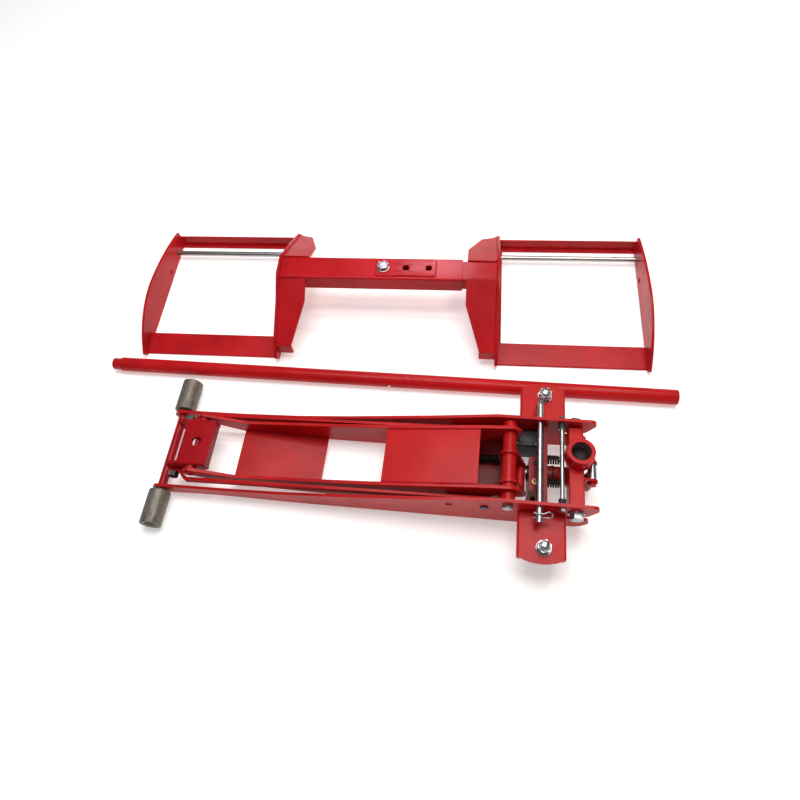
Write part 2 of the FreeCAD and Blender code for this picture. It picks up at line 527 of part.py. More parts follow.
# ---------------------------------------------------------------- two-piece handle
hy, hr, hw = D["handle_y"], D["handle_rad"], D["handle_wall"]
hl, hj, hx = D["handle_left"], D["handle_joint"], D["handle_right"]
long_part = fuse(cyl((hl + 22.0, hy, hr), "X", "handle_rad", hj - hl - 22.0),
                 cone((hl + 14.0, hy, hr), "X", 13.4, "handle_rad", 8.0), cyl((hl, hy, hr), "X", 13.4, 14.0))
long_part = cut(long_part, cyl((hl + 24.0, hy, hr), "X", "handle_rad - handle_wall", hj - hl),
                cyl((hl - 1, hy, hr), "X", 10.4, 40.0), cyl((-262.0, hy - 30, hr), "Y", "button_rad + 0.05", 30.0))
node("handle_long", long_part)
short_part = fuse(cyl((hj + 0.4, hy, hr), "X", "handle_rad", hx - hj - 0.4), cyl((hj - 60.0, hy, hr), "X", 12.95, 75.0))
short_part = cut(short_part, cyl((hj - 70.0, hy, hr), "X", 10.2, hx - hj + 80.0), cyl((-262.0, hy - 30, hr), "Y", "button_rad + 0.05", 30.0))
short_part = fillet(short_part, 1.2, lambda x, y, z, d: abs(x - hx) < 1e-6)
node("handle_short", short_part)
node("snap_button", several(cyl((-262.0, hy - hr - 1.5, hr), "Y", "button_rad", 12.0)))

# ---------------------------------------------------------------- wheel cradle
fo, fi, ft = D["frame_outer"], D["frame_inner"], D["frame_thk"]
cyy, czz = D["chock_y"], D["chock_z"]
outer_path = [(4.0, 0.0), ("A", (-6.5, 4.5), (-10.0, 14.0)), ("A", (60.0, 62.5), (165.0, 79.0)),
              ("A", (262.0, 65.0), (344.0, 42.0)), ("L", (344.0, 0.0))]
inner_path = [(4.0, 0.0), ("A", (-6.5, 6.5), (-12.0, 21.0)), ("L", (5.0, 48.0)), ("L", (57.0, 72.0)), ("L", (100.0, 92.0)),
              ("L", (149.0, 126.0)), ("L", (199.0, 126.0)), ("L", (277.0, 84.0)), ("L", (344.0, 44.0)), ("L", (344.0, 0.0))]
tn, tw, th, tl = D["tube_near"], D["tube_wid"], D["tube_hgt"], D["tube_low"]
tt = tl + th
for side, s in (("left", -1), ("right", 1)):
    holes = [(cyy, czz, "chock_bore_rad"), (233.0, 20.0, "chock_rad")]
    x0 = s * fo if s < 0 else fo - ft
    node("outer_plate_" + side, plate("outer", "YZ", outer_path, "frame_thk", holes), CRADLE, (x0, 0, 0))
    inn = fi if s < 0 else D["frame_inner_right"]
    x0 = -inn - ft if s < 0 else inn
    wall = plate("inner", "YZ", inner_path, "frame_thk", [(cyy, czz, "chock_bore_rad")])
    wall.Placement = FreeCAD.Placement(V(x0, 0, 0), FreeCAD.Rotation())
    x1 = -inn - ft - D["frame_ledge"] if s < 0 else inn + ft
    ledge = box(x1, 52.0, 0.0, "frame_ledge", 278.5, 5.0)
    node("inner_plate_" + side, fuse(wall, ledge), CRADLE)
    # ramp strip at the front, rising away from the entry edge
    width = fo - ft - (inn + ft)
    x2 = -fo + ft if s < 0 else inn + ft
    node("ramp_bar_" + side, plate("ramp", "YZ", [(0.0, 0.0), ("L", (4.5, 0.0)), ("L", (47.0, 7.0)), ("L", (47.0, 0.0)),
                                                  ("L", (52.0, 0.0)), ("L", (52.0, 13.0)), ("L", (2.0, 5.0)), ("L", (0.0, 4.0))], width),
         CRADLE, (x2, 0, 0))
    # angle section at the back: a low shelf and an upright leg
    node("rear_bar_" + side, plate("rear", "YZ", [(330.5, 0.0), ("L", (330.5, 5.0)), ("L", (339.0, 5.0)), ("L", (339.0, 30.0)),
                                                  ("L", (344.0, 30.0)), ("L", (344.0, 0.0))], width), CRADLE, (x2, 0, 0))
    # sloping gussets before and behind the cross tube, flush with its top
    gw = 63.0 if s < 0 else 68.0
    tn0 = tn if s < 0 else tn + (tw - D["slide_wid"]) / 2
    tf0 = tn + tw if s < 0 else tn + (tw + D["slide_wid"]) / 2
    gx0 = -inn if s < 0 else inn - gw
    near = plate("gusset_near", "YZ", [(4.0, 18.0), ("L", (4.0, 46.0)), ("L", (tn0, tt)), ("L", (tn0, tt - 5.7)),
                                       ("L", (9.0, 43.2)), ("L", (9.0, 18.0))], gw)
    far = plate("gusset_far", "YZ", [(tf0, tt), ("L", (343.0, 43.0)), ("L", (343.0, 37.3)), ("L", (tf0, tt - 5.7))], gw)
    near.Placement = FreeCAD.Placement(V(gx0, 0, 0), FreeCAD.Rotation())
    far.Placement = FreeCAD.Placement(V(gx0, 0, 0), FreeCAD.Rotation())
    g = -1 if s < 0 else 1
    def edge(w):
        return g * (inn - w)
    web_near = plate("web_near", "XY", [(edge(0), -5.0), ("L", (edge(35), -5.0)), ("L", (edge(35), 6.0)), ("L", (edge(gw), 96.0)),
                                        ("L", (edge(gw), 150.0)), ("L", (edge(0), 150.0))], 140.0)
    web_far = plate("web_far", "XY", [(edge(0), 190.0), ("L", (edge(gw), 190.0)), ("L", (edge(gw), 258.0)), ("L", (edge(38), 322.0)),
                                      ("L", (edge(12), 332.0)), ("L", (edge(0), 345.0))], 140.0)
    node("gussets_" + side, several(common(near, web_near), common(far, web_far)), CRADLE)
    rx0 = -fo - 4.0 if s < 0 else inn - 4.0
    rod = cyl((rx0, cyy, czz), "X", "chock_rad", fo - inn + 8.0)
    node("wheel_rod_" + side, fillet(rod, 1.0, lambda x, y, z, d: d.Length < 1e-6), CRADLE)

te, wl = D["tube_end"], D["tube_wall"]
wx, wp = D["width_x"], D["width_pitch"]
ty = tn + tw / 2
outer_tube = box(-fi, tn, tl, te + fi, "tube_wid", "tube_hgt")
outer_tube = fillet(outer_tube, 4.0, lambda x, y, z, d: abs(abs(d.x) - 1) < 1e-6)
outer_tube = cut(outer_tube, box(-fi - 10, tn + wl, tl + wl, te + fi + 20, "tube_wid - tube_wall*2", "tube_hgt - tube_wall*2"))
outer_tube = cut(outer_tube, cyl((wx, ty, 50), "Z", "width_rad", 100), cyl((wx + wp, ty, 50), "Z", "width_hole_rad", 100),
                 cyl((wx + 2 * wp, ty, 50), "Z", "width_hole_rad", 100))
node("outer_tube", outer_tube, CRADLE)
node("doubler_plate", cut(box(wx - 16.0, ty - 22.0, tt, 134.0, 44.0, "doubler_thk"), cyl((wx, ty, 50), "Z", "width_rad", 100),
                          cyl((wx + wp, ty, 50), "Z", "width_hole_rad", 100), cyl((wx + 2 * wp, ty, 50), "Z", "width_hole_rad", 100)), CRADLE)
node("width_bolt", several(
    fuse(cyl((wx, ty, tl - 16.0), "Z", "width_rad", th + 22.0), hexa((wx, ty, tt + D["doubler_thk"]), "Z", 12.7, 8.8, 20.0)),
    cut(hexa((wx, ty, tl - 10.0), "Z", 12.7, 10.0, 5.0), cyl((wx, ty, 50), "Z", "width_rad", 100))), CRADLE)
iw, ih, il = D["slide_wid"], D["slide_hgt"], D["slide_wall"]
iz = tl + th / 2 - ih / 2
inner_tube = box(-190.0, ty - iw / 2, iz, D["frame_inner_right"] + 190.0, "slide_wid", "slide_hgt")
inner_tube = fillet(inner_tube, 3.0, lambda x, y, z, d: abs(abs(d.x) - 1) < 1e-6)
inner_tube = cut(inner_tube, box(-200.0, ty - iw / 2 + il, iz + il, 460.0, "slide_wid - slide_wall*2", "slide_hgt - slide_wall*2"))
slot = fuse(box(wx - 2 * wp, ty - 7.5, 70.0, 2 * wp, 15.0, 60.0), cyl((wx, ty, 70.0), "Z", 7.5, 60.0),
            cyl((wx - 2 * wp, ty, 70.0), "Z", 7.5, 60.0))
inner_tube = cut(inner_tube, slot, cyl((wx + wp, ty, 70.0), "Z", "width_hole_rad", 60), cyl((wx + 2 * wp, ty, 70.0), "Z", "width_hole_rad", 60))
node("inner_tube", inner_tube, CRADLE)

# ---------------------------------------------------------------- check and write
doc.recompute()
bad = []
for o in doc.Objects:
    if any(word in ("Invalid", "Error") for word in o.State):
        bad.append("%s (%s): %s" % (o.Name, o.Label, o.State))
for o in NODES:
    if o.Shape.isNull() or not o.Shape.isValid() or not o.Shape.Solids:
        bad.append("%s: shape is empty or not valid" % o.Label)
if bad:
    raise RuntimeError("; ".join(bad))
if len(set(o.Label for o in NODES)) != len(NODES):
    raise RuntimeError("labels repeat")

os.makedirs("parts", exist_ok=True)
box_all = None
for o in NODES:
    o.Shape.exportStep("parts/%s.step" % o.Label)
    b = o.Shape.BoundBox
    box_all = b if box_all is None else box_all.united(b)
    print("%-22s solids %d volume %10.0f  x %8.1f %8.1f  y %7.1f %7.1f  z %6.1f %6.1f" % (
        o.Label, len(o.Shape.Solids), o.Shape.Volume, b.XMin, b.XMax, b.YMin, b.YMax, b.ZMin, b.ZMax))
print("nodes", len(NODES), "box", box_all)
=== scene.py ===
import math
import random

import bpy
import bmesh
from mathutils import Matrix, Vector


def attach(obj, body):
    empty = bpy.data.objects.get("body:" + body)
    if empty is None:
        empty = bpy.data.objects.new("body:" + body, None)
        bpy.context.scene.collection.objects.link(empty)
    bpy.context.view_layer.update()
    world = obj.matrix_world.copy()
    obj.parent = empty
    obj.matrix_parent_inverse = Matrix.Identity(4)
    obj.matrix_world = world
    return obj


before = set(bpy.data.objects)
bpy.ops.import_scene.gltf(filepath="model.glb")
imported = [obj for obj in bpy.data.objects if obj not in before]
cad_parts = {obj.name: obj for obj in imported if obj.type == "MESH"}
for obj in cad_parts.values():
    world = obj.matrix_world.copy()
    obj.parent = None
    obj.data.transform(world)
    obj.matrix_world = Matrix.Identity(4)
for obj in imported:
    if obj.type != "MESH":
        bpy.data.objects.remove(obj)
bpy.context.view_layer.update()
rng = random.Random(41)

OX, OY = 284.0, -219.8
CRADLE_X, CRADLE_Y, TURN = -278.7, 263.9, math.radians(1.467)


def J(x, y, z):
    """Jack layout in millimetres to the row frame in metres."""
    return Vector(((x + OX) / 1000.0, (y + OY) / 1000.0, z / 1000.0))


def K(x, y, z):
    """Cradle layout in millimetres to the row frame in metres."""
    c, s = math.cos(TURN), math.sin(TURN)
    return J(CRADLE_X + c * x - s * y, CRADLE_Y + s * x + c * y, z)


# ------------------------------------------------------------------ materials
def new_mat(name):
    m = bpy.data.materials.new(name)
    m.use_nodes = True
    nt = m.node_tree
    bsdf = nt.nodes["Principled BSDF"]
    coord = nt.nodes.new("ShaderNodeTexCoord")
    return m, nt, bsdf, coord


def noise(nt, coord, scale, detail=4.0, rough=0.55, stretch=None, dist=0.0):
    n = nt.nodes.new("ShaderNodeTexNoise")
    n.inputs["Scale"].default_value = scale
    n.inputs["Detail"].default_value = detail
    n.inputs["Roughness"].default_value = rough
    n.inputs["Distortion"].default_value = dist
    if stretch:
        mp = nt.nodes.new("ShaderNodeMapping")
        mp.inputs["Scale"].default_value = stretch
        nt.links.new(coord.outputs["Object"], mp.inputs["Vector"])
        nt.links.new(mp.outputs["Vector"], n.inputs["Vector"])
    else:
        nt.links.new(coord.outputs["Object"], n.inputs["Vector"])
    return n


def ramp(nt, src, stops):
    r = nt.nodes.new("ShaderNodeValToRGB")
    el = r.color_ramp.elements
    while len(el) < len(stops):
        el.new(0.5)
    for e, (p, c) in zip(el, stops):
        e.position = p
        e.color = c if len(c) == 4 else (c[0], c[1], c[2], 1.0)
    nt.links.new(src, r.inputs["Fac"])
    return r


def mix_col(nt, fac, a, b):
    m = nt.nodes.new("ShaderNodeMix")
    m.data_type = "RGBA"
    nt.links.new(fac, m.inputs["Factor"])
    for sock, v in ((m.inputs[6], a), (m.inputs[7], b)):
        if isinstance(v, tuple):
            sock.default_value = (v[0], v[1], v[2], 1.0)
        else:
            nt.links.new(v, sock)
    return m.outputs[2]


def g(v):
    return (v, v, v, 1.0)


def bump(nt, bsdf, layers):
    prev = None
    for src, strength, dist in layers:
        b = nt.nodes.new("ShaderNodeBump")
        b.inputs["Strength"].default_value = strength
        b.inputs["Distance"].default_value = dist
        nt.links.new(src, b.inputs["Height"])
        if prev is not None:
            nt.links.new(prev.outputs["Normal"], b.inputs["Normal"])
        prev = b
    nt.links.new(prev.outputs["Normal"], bsdf.inputs["Normal"])


def paint(name, dark, light, wear=0.0, chips=0.70, metal=(0.30, 0.29, 0.28)):
    m, nt, bsdf, co = new_mat(name)
    broad = noise(nt, co, 7.0, 3.0)
    col = ramp(nt, broad.outputs["Fac"], [(0.35, dark), (0.68, light)]).outputs["Color"]
    dust = noise(nt, co, 46.0, 6.0, 0.65)
    film = ramp(nt, dust.outputs["Fac"], [(0.52, g(0.0)), (0.82, g(0.22))])
    col = mix_col(nt, film.outputs["Color"], col, (dark[0] * 0.62, dark[1] * 1.2 + 0.004, dark[2] * 1.2 + 0.004))
    chip = noise(nt, co, 150.0, 5.0, 0.7, dist=0.6)
    mask = ramp(nt, chip.outputs["Fac"], [(chips, g(0.0)), (chips + 0.02, g(1.0))])
    if wear:
        # rubbed to bare steel in streaks along the piece
        streak = noise(nt, co, 26.0, 6.0, 0.7, (1.0, 7.0, 7.0), 0.4)
        m2 = ramp(nt, streak.outputs["Fac"], [(1.0 - wear, g(0.0)), (1.0 - wear + 0.05, g(0.9))])
        mx = nt.nodes.new("ShaderNodeMath")
        mx.operation = "MAXIMUM"
        nt.links.new(mask.outputs["Color"], mx.inputs[0])
        nt.links.new(m2.outputs["Color"], mx.inputs[1])
        mask_out = mx.outputs[0]
    else:
        mask_out = mask.outputs["Color"]
    col = mix_col(nt, mask_out, col, metal)
    nt.links.new(col, bsdf.inputs["Base Color"])
    rr = noise(nt, co, 22.0, 5.0, 0.6)
    rough = ramp(nt, rr.outputs["Fac"], [(0.3, g(0.26)), (0.75, g(0.42))])
    nt.links.new(rough.outputs["Color"], bsdf.inputs["Roughness"])
    peel = noise(nt, co, 620.0, 2.0, 0.5)
    sag = noise(nt, co, 60.0, 2.0, 0.5)
    bump(nt, bsdf, [(sag.outputs["Fac"], 0.16, 0.0006), (peel.outputs["Fac"], 0.14, 0.0002)])
    bsdf.inputs["Coat Weight"].default_value = 0.06
    bsdf.inputs["Coat Roughness"].default_value = 0.12
    bsdf.inputs["Specular IOR Level"].default_value = 0.12
    return m


def metal(name, dark, light, rough_lo, rough_hi, grain=(1.0, 1.0, 1.0), grain_scale=120.0, spots=None, metallic=1.0, rough_bump=0.08):
    m, nt, bsdf, co = new_mat(name)
    n1 = noise(nt, co, grain_scale, 6.0, 0.65, grain)
    col = ramp(nt, n1.outputs["Fac"], [(0.3, dark), (0.7, light)]).outputs["Color"]
    if spots:
        n2 = noise(nt, co, spots[1], 6.0, 0.7, dist=0.5)
        mk = ramp(nt, n2.outputs["Fac"], [(spots[2], g(0.0)), (spots[2] + 0.12, g(spots[3]))])
        col = mix_col(nt, mk.outputs["Color"], col, spots[0])
    nt.links.new(col, bsdf.inputs["Base Color"])
    n3 = noise(nt, co, grain_scale * 0.4, 4.0, 0.6, grain)
    rg = ramp(nt, n3.outputs["Fac"], [(0.3, g(rough_lo)), (0.75, g(rough_hi))])
    nt.links.new(rg.outputs["Color"], bsdf.inputs["Roughness"])
    n4 = noise(nt, co, grain_scale * 4.0, 3.0, 0.6, grain)
    bump(nt, bsdf, [(n4.outputs["Fac"], rough_bump, 0.0003)])
    bsdf.inputs["Metallic"].default_value = metallic
    return m


RED_D, RED_L = (0.40, 0.0065, 0.0080), (0.55, 0.0120, 0.0140)
M = {
    "red": paint("red gloss paint", RED_D, RED_L, chips=0.80),
    "red_arm": paint("red paint, arm plates", (0.40, 0.0060, 0.0075), (0.56, 0.0115, 0.0135), chips=0.78),
    "red_cradle": paint("red paint, cradle", (0.39, 0.0065, 0.0095), (0.54, 0.0120, 0.0175), chips=0.80),
    "red_handle": paint("red paint, handle", (0.41, 0.0060, 0.0085), (0.56, 0.0115, 0.0155), wear=0.20, chips=0.78),
    "red_worn": paint("red paint, rubbed", (0.33, 0.0045, 0.009), (0.47, 0.009, 0.016), wear=0.30, chips=0.74),
    # red darkened as painted shade, for parts that sit in the shade under the lift arm
    "red_painted_shade": paint("red paint darkened as painted shade", (0.13, 0.0045, 0.0050), (0.27, 0.0085, 0.0095), chips=0.74, metal=(0.05, 0.045, 0.04)),
    "bead": paint("red paint over weld", (0.36, 0.003, 0.009), (0.52, 0.006, 0.018), chips=0.76),
    "black": paint("black satin paint", (0.008, 0.008, 0.009), (0.02, 0.02, 0.022), chips=0.78, metal=(0.16, 0.15, 0.14)),
    "tank": metal("dull black enamel", (0.006, 0.006, 0.006), (0.016, 0.015, 0.015), 0.5, 0.7, grain_scale=90.0, metallic=0.0),
    "zinc": metal("zinc plate", (0.27, 0.285, 0.31), (0.50, 0.52, 0.55), 0.24, 0.42, grain_scale=90.0, spots=((0.50, 0.46, 0.36), 30.0, 0.62, 0.5)),
    "bright": metal("drawn bright steel", (0.28, 0.285, 0.29), (0.48, 0.485, 0.49), 0.24, 0.38, grain=(0.12, 3.0, 3.0), grain_scale=160.0, spots=((0.36, 0.31, 0.25), 24.0, 0.66, 0.5)),
    "roller": metal("turned mild steel", (0.13, 0.118, 0.098), (0.24, 0.222, 0.192), 0.42, 0.66, grain=(3.0, 0.5, 3.0), grain_scale=110.0,
                    spots=((0.085, 0.065, 0.05), 55.0, 0.54, 0.85), metallic=0.55, rough_bump=0.25),
    "oxide": metal("black oxide steel", (0.018, 0.017, 0.017), (0.06, 0.057, 0.055), 0.34, 0.55, grain_scale=140.0, spots=((0.12, 0.09, 0.07), 60.0, 0.64, 0.5), metallic=0.8),
    # near-black spring wire, its own dark colour, also kept this dark as painted shade in the opening under the arm
    "spring": metal("black spring wire and painted shade", (0.012, 0.012, 0.012), (0.035, 0.034, 0.033), 0.30, 0.46, grain_scale=200.0, metallic=0.7),
    "rubber": metal("black rubber", (0.010, 0.010, 0.010), (0.022, 0.021, 0.021), 0.62, 0.82, grain_scale=180.0, metallic=0.0, rough_bump=0.2),
    "polymer": metal("dark polymer", (0.03, 0.03, 0.031), (0.06, 0.06, 0.06), 0.45, 0.6, grain_scale=150.0, spots=((0.11, 0.10, 0.09), 60.0, 0.6, 0.6), metallic=0.0),
    # near-black painted shade for the inside of the handle socket
    "socket_painted_shade": metal("dark painted shade", (0.006, 0.003, 0.003), (0.03, 0.008, 0.007), 0.6, 0.85, grain_scale=90.0, metallic=0.0),
    "nylon": metal("nylon ring", (0.55, 0.56, 0.58), (0.72, 0.72, 0.74), 0.40, 0.55, grain_scale=120.0, metallic=0.0),
    "brass": metal("brass", (0.42, 0.30, 0.12), (0.58, 0.43, 0.18), 0.28, 0.42, grain_scale=120.0),
}

NODE_MAT = {}
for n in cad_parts:
    NODE_MAT[n] = "red"
for n in ("front_roller_near", "front_roller_far", "axle_shaft"):
    NODE_MAT[n] = "roller"
for n in ("caster_bolts", "caster_fork_near", "caster_fork_far", "tie_rod", "pump_roller", "lock_pin", "r_clip",
          "snap_button", "width_bolt", "pivot_bolt", "yoke_bolts"):
    NODE_MAT[n] = "zinc"
for n in ("ram", "pump_plunger", "wheel_rod_left", "wheel_rod_right"):
    NODE_MAT[n] = "bright"
for n in ("saddle_front_pin", "rod_pins"):
    NODE_MAT[n] = "oxide"
NODE_MAT["return_springs"] = "spring"
NODE_MAT["arm_return_springs"] = "spring"
NODE_MAT["reservoir"] = "tank"
for n in ("caster_wheel_near", "caster_wheel_far"):
    NODE_MAT[n] = "polymer"
for n in ("arm_plate_near", "arm_plate_far", "arm_cross_rear", "arm_cross_front", "radius_rod_near", "radius_rod_far"):
    NODE_MAT[n] = "red_arm"
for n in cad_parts:
    if n.split("_")[0] in ("outer", "inner", "ramp", "rear", "gussets", "doubler"):
        NODE_MAT[n] = "red_cradle"
for n in ("handle_long", "handle_short"):
    NODE_MAT[n] = "red_handle"
for n in ("saddle", "axle_tube", "yoke_lugs", "saddle_pivot_pin"):
    NODE_MAT[n] = "red_worn"
# belly plate and power unit take the darkened red: painted shade for the shaded floor of the chassis
for n in ("chassis_cross_plates", "power_unit"):
    NODE_MAT[n] = "red_painted_shade"

for name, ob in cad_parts.items():
    ob.data.materials.clear()
    ob.data.materials.append(M[NODE_MAT[name]])
    w = ob.modifiers.new("weld", "WELD")
    w.merge_threshold = 0.00002
    if name not in ("return_springs", "arm_return_springs", "r_clip"):
        b = ob.modifiers.new("edge", "BEVEL")
        b.width = 0.0007
        b.segments = 2
        b.limit_method = "ANGLE"
        b.angle_limit = math.radians(40)
        b.use_clamp_overlap = True
        b.harden_normals = False
        wn = ob.modifiers.new("wn", "WEIGHTED_NORMAL")
        wn.keep_sharp = True
    for p in ob.data.polygons:
        p.use_smooth = True
    try:
        ob.data.set_sharp_from_angle(angle=math.radians(40))
    except Exception:
        pass


# ------------------------------------------------------------------ mesh helpers
def make(name, verts, faces, mat, body, smooth=True):
    name = name.replace(" ", "_")
    me = bpy.data.meshes.new(name)
    me.from_pydata([tuple(v) for v in verts], [], faces)
    bm = bmesh.new()
    bm.from_mesh(me)
    bmesh.ops.recalc_face_normals(bm, faces=bm.faces)
    bm.to_mesh(me)
    bm.free()
    for p in me.polygons:
        p.use_smooth = smooth
    ob = bpy.data.objects.new(name, me)
    bpy.context.scene.collection.objects.link(ob)
    ob.data.materials.append(M[mat])
    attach(ob, body)
    return ob


def frame_at(d, up):
    d = d.normalized()
    a = up - d * up.dot(d)
    if a.length < 1e-6:
        a = Vector((1, 0, 0)) - d * d.x
    a.normalize()
    return a, d.cross(a)


def resample(points, step):
    out, cum = [], 0.0
    segs = [(points[i], points[i + 1]) for i in range(len(points) - 1)]
    total = sum((b - a).length for a, b in segs)
    n = max(2, int(total / step))
    for k in range(n + 1):
        want = total * k / n
        run = 0.0
        for a, b in segs:
            l = (b - a).length
            if want <= run + l + 1e-9 or (a, b) == segs[-1]:
                f = min(1.0, max(0.0, (want - run) / l)) if l else 0.0
                out.append((a.lerp(b, f), (b - a)))
                break
            run += l
    return out


def weld_mesh(lines, radius, up=Vector((0, 0, 1)), pitch=2.6, sides=8):
    """Rippled fillet beads along polylines, all in one mesh."""
    verts, faces = [], []
    for pts in lines:
        rings = resample(pts, 0.0007)
        base = len(verts)
        wander = rng.random() * 6.0
        for i, (p, d) in enumerate(rings):
            s = i * 0.7
            a, b = frame_at(d, up)
            phase = (s / pitch) % 1.0
            r = radius * (0.80 + 0.24 * math.sqrt(max(0.0, 1.0 - (2 * phase - 1) ** 2)) + 0.06 * math.sin(s * 0.31 + wander))
            edge = min(i, len(rings) - 1 - i)
            if edge < 3:
                r *= (0.35, 0.65, 0.85)[edge]
            for k in range(sides):
                t = 2 * math.pi * k / sides
                lag = 0.0009 * math.cos(t)
                verts.append(p + (a * math.cos(t) + b * math.sin(t)) * r + d.normalized() * lag)
        n = len(rings)
        for i in range(n - 1):
            for k in range(sides):
                q = base + i * sides
                faces.append((q + k, q + (k + 1) % sides, q + sides + (k + 1) % sides, q + sides + k))
        faces.append(tuple(base + k for k in range(sides)))
        faces.append(tuple(base + (n - 1) * sides + k for k in reversed(range(sides))))
    return verts, faces


def weld(name, lines, radius, body, up=Vector((0, 0, 1)), mat="bead"):
    v, f = weld_mesh(lines, radius / 1000.0, up)
    return make(name, v, f, mat, body)


def circle(centre, axis, rad, n=40, start=0.0, sweep=360.0):
    d = Vector(axis)
    a, b = frame_at(d, Vector((0, 0, 1)) if abs(d.z) < 0.9 else Vector((1, 0, 0)))
    out = []
    for i in range(n + 1):
        t = math.radians(start + sweep * i / n)
        out.append(centre + (a * math.cos(t) + b * math.sin(t)) * rad / 1000.0)
    return out


def lathe(name, centre, axis, profile, mat, body, n=48):
    """profile: (radius, distance along axis) pairs in mm, turned about the axis."""
    d = Vector(axis).normalized()
    a, b = frame_at(d, Vector((0, 0, 1)) if abs(d.z) < 0.9 else Vector((1, 0, 0)))
    verts, faces = [], []
    m = len(profile)
    for i in range(n):
        t = 2 * math.pi * i / n
        for r, h in profile:
            verts.append(centre + (a * math.cos(t) + b * math.sin(t)) * r / 1000.0 + d * h / 1000.0)
    for i in range(n):
        for j in range(m - 1):
            p, q = i * m + j, ((i + 1) % n) * m + j
            faces.append((p, q, q + 1, p + 1))
    if profile[0][0] > 1e-6 and profile[-1][0] > 1e-6:
        # an open ring: the bore joins the last point to the first
        for i in range(n):
            p, q = i * m, ((i + 1) % n) * m
            faces.append((p + m - 1, q + m - 1, q, p))
    ob = make(name, verts, faces, mat, body)
    bm = bmesh.new()
    bm.from_mesh(ob.data)
    bmesh.ops.remove_doubles(bm, verts=bm.verts, dist=1e-6)
    bm.to_mesh(ob.data)
    bm.free()
    return ob


def thread(name, centre, axis, rad, pitch, length, mat, body):
    """A screw thread with a chamfered end."""
    d = Vector(axis).normalized()
    a, b = frame_at(d, Vector((0, 0, 1)) if abs(d.z) < 0.9 else Vector((1, 0, 0)))
    nt, nz = 40, max(8, int(length / pitch * 6))
    verts, faces = [], []
    for j in range(nz + 1):
        h = length * j / nz
        lim = rad + 0.5 - max(0.0, h - (length - 1.0)) * 0.9
        for i in range(nt):
            t = 2 * math.pi * i / nt
            ph = (h / pitch - i / nt) % 1.0
            r = min(lim, rad + 0.04 + 0.42 * (1.0 - abs(2 * ph - 1)))
            verts.append(centre + (a * math.cos(t) + b * math.sin(t)) * r / 1000.0 + d * h / 1000.0)
    for j in range(nz):
        for i in range(nt):
            p = j * nt
            faces.append((p + i, p + (i + 1) % nt, p + nt + (i + 1) % nt, p + nt + i))
    faces.append(tuple(nz * nt + i for i in range(nt)))
    faces.append(tuple(reversed(range(nt))))
    return make(name, verts, faces, mat, body)


def wire(name, pts, rad, mat, body):
    name = name.replace(" ", "_")
    cu = bpy.data.curves.new(name, "CURVE")
    cu.dimensions = "3D"
    sp = cu.splines.new("NURBS")
    sp.points.add(len(pts) - 1)
    for p, q in zip(sp.points, pts):
        p.co = (q.x, q.y, q.z, 1.0)
    sp.order_u = 4
    sp.use_endpoint_u = True
    cu.bevel_depth = rad / 1000.0
    cu.bevel_resolution = 4
    cu.resolution_u = 8
    cu.use_fill_caps = True
    ob = bpy.data.objects.new(name, cu)
    bpy.context.scene.collection.objects.link(ob)
    ob.data.materials.append(M[mat])
    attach(ob, body)
    return ob


# ------------------------------------------------------------------ jack details
for s, nm in ((-1, "near"), (1, "far")):
    y = s * 88.6
    weld("bracket weld " + nm, [[J(24, y, 80.6), J(103, y, 80.6)]], 2.0, "chassis")
    weld("axle tube weld " + nm, [circle(J(-706, s * 81.4, 22), (0, 1, 0), 9.6)], 1.6, "chassis", up=Vector((0, s, 0)))
    weld("cross strip weld " + nm, [[J(62.6, s * 81.2, 60), J(62.6, s * 81.2, 96)], [J(71.4, s * 81.2, 52), J(71.4, s * 81.2, 96)]], 1.7, "chassis", up=Vector((1, 0, 0)))
    # kingpin: collar of the lock nut, thread end
    lathe("kingpin nut collar " + nm, J(67, s * 155, 94.0), (0, 0, 1), [(8.05, 0), (10.7, 0), (10.7, 1.6), (10.0, 2.5), (9.0, 3.0), (8.05, 3.0)], "zinc", "chassis")
    thread("kingpin thread " + nm, J(67, s * 155, 96.0), (0, 0, 1), 8.0, 2.0, 4.6, "zinc", "chassis")
    weld("arm rear cross weld " + nm, [[J(-240, s * 56.6, 87.0), J(-180, s * 56.6, 96.2), J(-120, s * 56.6, 105.6), J(-59, s * 56.6, 114.8)]], 2.0, "lift_arm")
    weld("arm front cross weld " + nm, [[J(-552, s * 56.4, 26.8), J(-470, s * 56.4, 21.8), J(-377, s * 56.4, 16.0)]], 1.9, "lift_arm")
    weld("pivot tube weld " + nm, [circle(J(0, s * 56.3, 98), (0, 1, 0), 13.6), circle(J(0, s * 64.6, 98), (0, 1, 0), 13.6)], 1.7, "lift_arm", up=Vector((0, s, 0)))
    weld("lug weld " + nm, [[J(139, -5.2 + s * 18.6 - 2.5, 77.0), J(139, -5.2 + s * 18.6 - 2.5, 96.0)]], 1.6, "yoke", up=Vector((1, 0, 0)))
    # return spring end hooks
    y = s * 24.0
    wire("spring rear hook " + nm, [J(96.0, y + 6.8, 64.5), J(97.6, y + 5.0, 68.6), J(98.4, y, 71.0), J(98.6, y - 4.0, 68.0), J(98.4, y - 3.2, 63.0), J(97.6, y + 1.0, 61.0)], 1.3, "zinc", "chassis")

